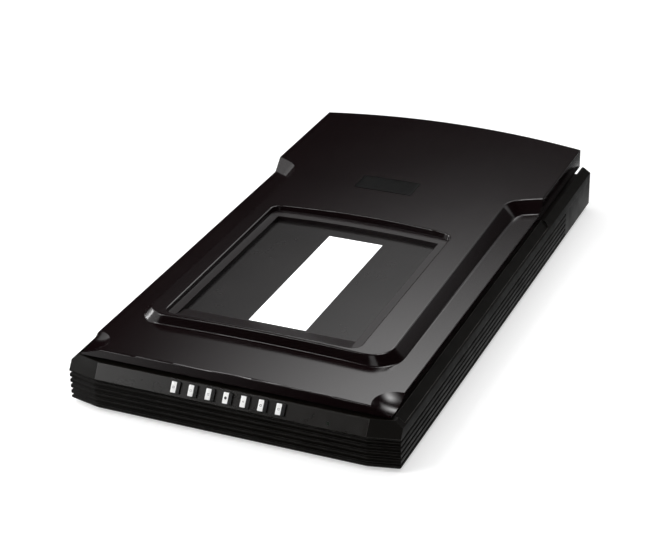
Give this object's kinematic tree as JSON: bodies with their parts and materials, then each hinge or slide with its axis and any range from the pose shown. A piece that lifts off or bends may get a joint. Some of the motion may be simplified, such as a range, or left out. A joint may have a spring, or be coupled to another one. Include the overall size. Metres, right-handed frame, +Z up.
{
  "type": "flatbed scanner",
  "caption": "Long flatbed document scanner with a ribbed base, sloped button front, and a hinged lid whose raised top holds a lit film tray.",
  "frame": {"origin": "on the table under the middle of the closed scanner", "axes": "+X to the right of someone facing the buttons, +Y to the rear hinge, +Z up"},
  "size_m": [0.29, 0.527, 0.0661],
  "materials": {
    "case_plastic": "fine textured moulding",
    "lid_plastic": "satin moulding",
    "dark_panel": "satin",
    "diffuser": "opal, lit from behind",
    "circuit_board": "solder mask",
    "component_black": "moulded",
    "glass": "polished",
    "white_part": "matte",
    "rubber": "matte",
    "zinc_steel": "zinc plated",
    "bright_steel": "ground",
    "socket_metal": "nickel plated",
    "grey_plastic": "moulded",
    "acetal": "natural acetal",
    "brass": "turned",
    "lamp_glass": "clear tube",
    "mirror_glass": "front surface mirror",
    "key_plastic": "satin",
    "indicator": "clear, unlit"
  },
  "bodies": {
    "base": {"base_case": "case_plastic", "top_bezel": "case_plastic", "front_panel": "case_plastic", "button_board": "circuit_board", "tact_switches": "component_black", "status_light": "indicator", "platen_glass": "glass", "calibration_strip": "white_part", "rubber_feet": "rubber", "case_screws": "zinc_steel", "main_board": "circuit_board", "power_socket": "component_black", "data_socket": "socket_metal", "adapter_socket": "component_black", "guide_rod": "bright_steel", "rod_clamps": "grey_plastic", "slide_rail": "acetal", "gear_axle": "bright_steel", "stepper_motor": "zinc_steel", "motor_plate": "zinc_steel", "drive_belt": "rubber", "idler_bracket": "zinc_steel", "tension_spring": "bright_steel"},
    "carriage": {"carriage_frame": "grey_plastic", "rod_bushes": "brass", "rail_shoe": "acetal", "belt_clamp": "acetal", "carriage_cover": "grey_plastic", "scan_lamp": "lamp_glass", "lamp_reflector": "mirror_glass", "scan_mirrors": "mirror_glass", "lens_barrel": "component_black", "sensor_board": "circuit_board"},
    "transport_lock": {"carriage_lock": "white_part"},
    "gear": {"drive_gear": "acetal"},
    "pinion": {"motor_pinion": "brass"},
    "idler": {"idler_pulley": "acetal"},
    "button_1_key": {"button_1": "key_plastic"},
    "button_2_key": {"button_2": "key_plastic"},
    "button_3_key": {"button_3": "key_plastic"},
    "button_4_key": {"button_4": "key_plastic"},
    "button_5_key": {"button_5": "key_plastic"},
    "button_6_key": {"button_6": "key_plastic"},
    "button_7_key": {"button_7": "key_plastic"},
    "posts": {"hinge_post_left": "case_plastic", "hinge_post_right": "case_plastic"},
    "lid": {"lid_cover": "lid_plastic", "lid_frame": "lid_plastic", "lid_screws": "zinc_steel", "lid_bumpers": "rubber", "document_mat": "white_part", "tray_panel": "dark_panel", "light_strip": "diffuser", "film_window": "diffuser", "light_guide": "lamp_glass", "light_tubes": "lamp_glass", "light_reflector": "white_part", "inverter_board": "circuit_board", "hinge_brackets": "zinc_steel", "hinge_pins": "bright_steel"}
  },
  "joints": [
    {"name": "lid_lift", "type": "slide", "parent": "base", "child": "posts", "axis": [0, 0, 1], "range_m": [0, 0.015]},
    {"name": "lid_hinge", "type": "hinge", "parent": "posts", "child": "lid", "pos_m": [0, 0.2465, 0.052], "axis": [-1, 0, 0], "range_deg": [0, 80]},
    {"name": "carriage_slide", "type": "slide", "parent": "base", "child": "carriage", "axis": [0, -1, 0], "range_m": [0, 0.362]},
    {"name": "gear_spin", "type": "hinge", "parent": "base", "child": "gear", "pos_m": [-0.096, 0.212, 0], "axis": [0, 0, 1], "range_deg": [-3150, 0]},
    {"name": "pinion_spin", "type": "hinge", "parent": "base", "child": "pinion", "pos_m": [-0.07, 0.212, 0], "axis": [0, 0, 1], "range_deg": [0, 9450]},
    {"name": "idler_spin", "type": "hinge", "parent": "base", "child": "idler", "pos_m": [-0.096, -0.2465, 0], "axis": [0, 0, 1], "range_deg": [-3150, 0]},
    {"name": "lock_slide", "type": "slide", "parent": "base", "child": "transport_lock", "axis": [0, -1, 0], "range_m": [0, 0.005]},
    {"name": "button_1_press", "type": "slide", "parent": "base", "child": "button_1_key", "axis": [0, 0.8384, -0.545], "range_m": [0, 0.0008], "stiffness_N_per_m": 1200, "springref_m": -0.0003},
    {"name": "button_2_press", "type": "slide", "parent": "base", "child": "button_2_key", "axis": [0, 0.8384, -0.545], "range_m": [0, 0.0008], "stiffness_N_per_m": 1200, "springref_m": -0.0003},
    {"name": "button_3_press", "type": "slide", "parent": "base", "child": "button_3_key", "axis": [0, 0.8384, -0.545], "range_m": [0, 0.0008], "stiffness_N_per_m": 1200, "springref_m": -0.0003},
    {"name": "button_4_press", "type": "slide", "parent": "base", "child": "button_4_key", "axis": [0, 0.8384, -0.545], "range_m": [0, 0.0008], "stiffness_N_per_m": 1200, "springref_m": -0.0003},
    {"name": "button_5_press", "type": "slide", "parent": "base", "child": "button_5_key", "axis": [0, 0.8384, -0.545], "range_m": [0, 0.0008], "stiffness_N_per_m": 1200, "springref_m": -0.0003},
    {"name": "button_6_press", "type": "slide", "parent": "base", "child": "button_6_key", "axis": [0, 0.8384, -0.545], "range_m": [0, 0.0008], "stiffness_N_per_m": 1200, "springref_m": -0.0003},
    {"name": "button_7_press", "type": "slide", "parent": "base", "child": "button_7_key", "axis": [0, 0.8384, -0.545], "range_m": [0, 0.0008], "stiffness_N_per_m": 1200, "springref_m": -0.0003}
  ],
  "couplings": [
    {"joint": "gear_spin", "follows": "carriage_slide", "rad_per_m": -150.38},
    {"joint": "pinion_spin", "follows": "carriage_slide", "rad_per_m": 451.13},
    {"joint": "idler_spin", "follows": "carriage_slide", "rad_per_m": -150.38}
  ]
}
